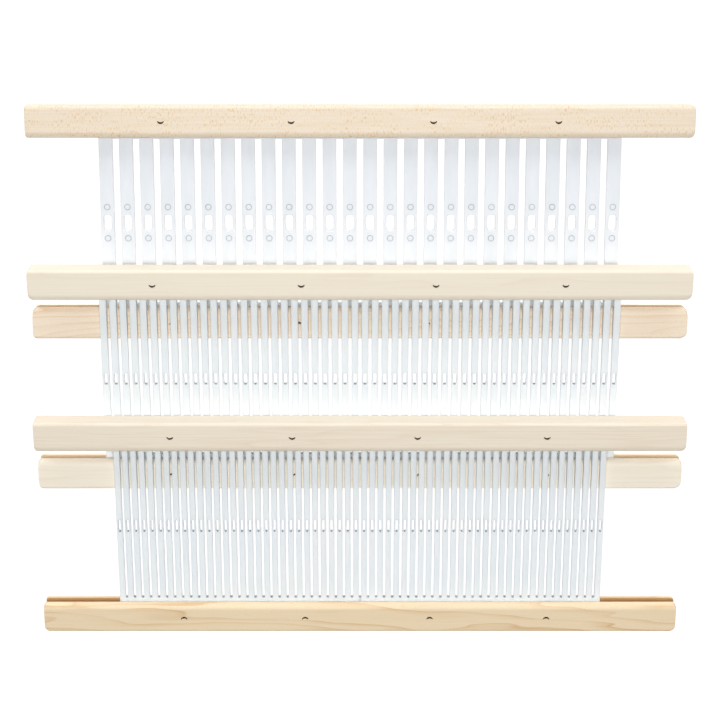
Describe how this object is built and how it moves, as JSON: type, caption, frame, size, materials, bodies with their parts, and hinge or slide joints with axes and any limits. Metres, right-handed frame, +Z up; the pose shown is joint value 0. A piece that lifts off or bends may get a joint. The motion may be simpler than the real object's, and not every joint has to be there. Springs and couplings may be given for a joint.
{
  "type": "rigid heddle reed set",
  "caption": "Set of rigid heddle loom reeds lying shingled: grooved wooden rails hold moulded plastic combs with a slot beside every eyed blade, pinned by brads.",
  "frame": {"origin": "under the middle of the set, at the height of the table it lies on", "axes": "+X along the rails, +Y from the lowest reed's bottom rail towards the flat reed's top rail, +Z up from the table"},
  "size_m": [0.332, 0.2754, 0.0245],
  "materials": {
    "five_dent_wood": "sanded pale maple with fine ray fleck",
    "ten_dent_wood": "sanded pale maple, nearly plain",
    "twelve_dent_wood": "sanded pale maple with straight and flame grain",
    "comb_plastic": "satin moulded, cool white",
    "brad_steel": "dull wire, set just under the wood"
  },
  "bodies": {
    "root": {"five_dent_bottom_rail": "five_dent_wood", "five_dent_top_rail": "five_dent_wood", "five_dent_left_comb": "comb_plastic", "five_dent_right_comb": "comb_plastic", "five_dent_bottom_brad_1": "brad_steel", "five_dent_bottom_brad_2": "brad_steel", "five_dent_bottom_brad_3": "brad_steel", "five_dent_bottom_brad_4": "brad_steel", "five_dent_top_brad_1": "brad_steel", "five_dent_top_brad_2": "brad_steel", "five_dent_top_brad_3": "brad_steel", "five_dent_top_brad_4": "brad_steel"},
    "ten_dent_reed": {"ten_dent_bottom_rail": "ten_dent_wood", "ten_dent_top_rail": "ten_dent_wood", "ten_dent_left_comb": "comb_plastic", "ten_dent_right_comb": "comb_plastic", "ten_dent_bottom_brad_1": "brad_steel", "ten_dent_bottom_brad_2": "brad_steel", "ten_dent_bottom_brad_3": "brad_steel", "ten_dent_bottom_brad_4": "brad_steel", "ten_dent_top_brad_1": "brad_steel", "ten_dent_top_brad_2": "brad_steel", "ten_dent_top_brad_3": "brad_steel", "ten_dent_top_brad_4": "brad_steel"},
    "twelve_dent_reed": {"twelve_dent_bottom_rail": "twelve_dent_wood", "twelve_dent_top_rail": "twelve_dent_wood", "twelve_dent_left_comb": "comb_plastic", "twelve_dent_right_comb": "comb_plastic", "twelve_dent_bottom_brad_1": "brad_steel", "twelve_dent_bottom_brad_2": "brad_steel", "twelve_dent_bottom_brad_3": "brad_steel", "twelve_dent_bottom_brad_4": "brad_steel", "twelve_dent_top_brad_1": "brad_steel", "twelve_dent_top_brad_2": "brad_steel", "twelve_dent_top_brad_3": "brad_steel", "twelve_dent_top_brad_4": "brad_steel"}
  },
  "joints": [
    {"name": "ten_dent_lift", "type": "slide", "parent": "root", "child": "ten_dent_reed", "axis": [0, 0, 1], "range_m": [0, 0.06]},
    {"name": "twelve_dent_lift", "type": "slide", "parent": "ten_dent_reed", "child": "twelve_dent_reed", "axis": [0, 0, 1], "range_m": [0, 0.06]}
  ]
}
